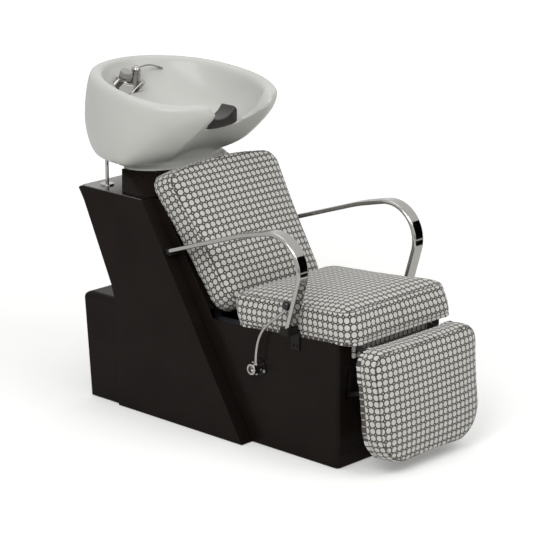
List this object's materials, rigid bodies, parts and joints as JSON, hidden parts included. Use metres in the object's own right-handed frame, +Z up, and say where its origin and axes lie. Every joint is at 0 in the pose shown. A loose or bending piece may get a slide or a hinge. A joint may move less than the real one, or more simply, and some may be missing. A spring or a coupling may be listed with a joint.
{
  "type": "hair washing bed",
  "caption": "Reclined salon wash chair with a tilting ceramic basin, patterned cushions, chrome armrests and a lever-raised leg rest on a black base.",
  "frame": {"origin": "on the floor, in the middle of the footprint: halfway between the front of the leg rest and the rear of the basin, on the chair's centre plane", "axes": "+Z up, the sitter faces -Y, +X is the sitter's left, so the basin is at +Y and the leg rest at -Y"},
  "size_m": [0.566, 1.3757, 1.0307],
  "materials": {
    "black_gloss_shell": "high gloss moulded",
    "black_metal": "satin black paint",
    "grey_frame_steel": "satin grey paint",
    "plated_steel": "zinc plated",
    "chrome": "polished",
    "polished_ledge": "polished",
    "patterned_cloth": "woven, grey with a geometric pattern",
    "plywood": "bare plywood",
    "white_ceramic": "gloss white glaze",
    "black_rubber": "soft matt",
    "black_knob": "gloss",
    "grey_shower": "gloss",
    "white_nylon": "matt",
    "foot_plastic": "matt"
  },
  "bodies": {
    "base": {"floor_frame": "grey_frame_steel", "levelling_feet": "foot_plastic", "front_box_shell": "black_gloss_shell", "back_shell": "black_gloss_shell", "column_shell": "black_gloss_shell", "ledge_plate": "polished_ledge", "neck_cowl": "black_gloss_shell", "rear_box_shell": "black_gloss_shell", "rear_access_cover": "black_metal", "cover_screws": "plated_steel", "front_valance": "patterned_cloth", "seat_frame": "grey_frame_steel", "seat_board": "plywood", "seat_cushion": "patterned_cloth", "back_frame": "grey_frame_steel", "back_board": "plywood", "back_cushion": "patterned_cloth", "armrest_left": "chrome", "armrest_right": "chrome", "arm_foot_brackets": "black_metal", "arm_rear_brackets": "black_metal", "arm_bolts": "black_metal", "leg_rest_hinge_rod": "black_metal", "shaft_bushes": "white_nylon", "lever_flange": "black_metal", "flange_screws": "plated_steel", "tilt_pins": "plated_steel", "stay_tubes": "chrome", "stay_rosettes": "chrome"},
    "leg_rest": {"leg_rest_cushion": "patterned_cloth", "leg_rest_board": "plywood", "leg_rest_brackets": "black_metal", "leg_rest_pins": "black_metal"},
    "push_link": {"push_links": "black_metal"},
    "lever": {"lever_shaft": "plated_steel", "lever_hub": "chrome", "lever_rod": "chrome", "lever_knob": "black_knob", "crank_arms": "plated_steel", "crank_pins": "plated_steel"},
    "basin_unit": {"basin": "white_ceramic", "neck_rest": "black_rubber", "waste_strainer": "chrome", "hinge_leaves": "plated_steel", "stay_clevises": "plated_steel", "stay_pins": "plated_steel", "tap_plate": "chrome", "mixer_body": "chrome", "shower_holder": "chrome", "inlet_tails": "plated_steel"},
    "stays": {"stay_rods": "chrome"},
    "mixer_turn": {"mixer_cap": "chrome"},
    "mixer_arm": {"mixer_lever": "chrome"},
    "shower": {"hand_shower": "grey_shower"}
  },
  "joints": [
    {"name": "leg_rest_swing", "type": "hinge", "parent": "base", "child": "leg_rest", "pos_m": [0, -0.57423, 0.365], "axis": [-1, 0, 0], "range_deg": [0, 75]},
    {"name": "lever_turn", "type": "hinge", "parent": "base", "child": "lever", "pos_m": [0, -0.19323, 0.245], "axis": [-1, 0, 0], "range_deg": [0, 75]},
    {"name": "link_turn", "type": "hinge", "parent": "lever", "child": "push_link", "pos_m": [0, -0.19323, 0.121], "axis": [-1, 0, 0], "range_deg": [-75, 0]},
    {"name": "basin_tilt", "type": "hinge", "parent": "base", "child": "basin_unit", "pos_m": [0, 0.39177, 0.75], "axis": [-1, 0, 0], "range_deg": [0, 10]},
    {"name": "stay_swing", "type": "hinge", "parent": "basin_unit", "child": "stays", "pos_m": [0, 0.47177, 0.757], "axis": [-1, 0, 0], "range_deg": [-10, 0]},
    {"name": "mixer_turn", "type": "hinge", "parent": "basin_unit", "child": "mixer_turn", "pos_m": [0.004, 0.57043, 0.99323], "axis": [0, -0.1392, 0.9903], "range_deg": [-90, 0]},
    {"name": "mixer_lift", "type": "hinge", "parent": "mixer_turn", "child": "mixer_arm", "pos_m": [0.00625, 0.56819, 1.00919], "axis": [0, -0.9903, -0.1392], "range_deg": [0, 22]},
    {"name": "shower_lift", "type": "slide", "parent": "basin_unit", "child": "shower", "axis": [0, -0.7431, 0.6691], "range_m": [0, 0.25]}
  ],
  "couplings": [
    {"joint": "lever_turn", "follows": "leg_rest_swing", "ratio": 1},
    {"joint": "link_turn", "follows": "leg_rest_swing", "ratio": -1},
    {"joint": "stay_swing", "follows": "basin_tilt", "ratio": -1}
  ]
}
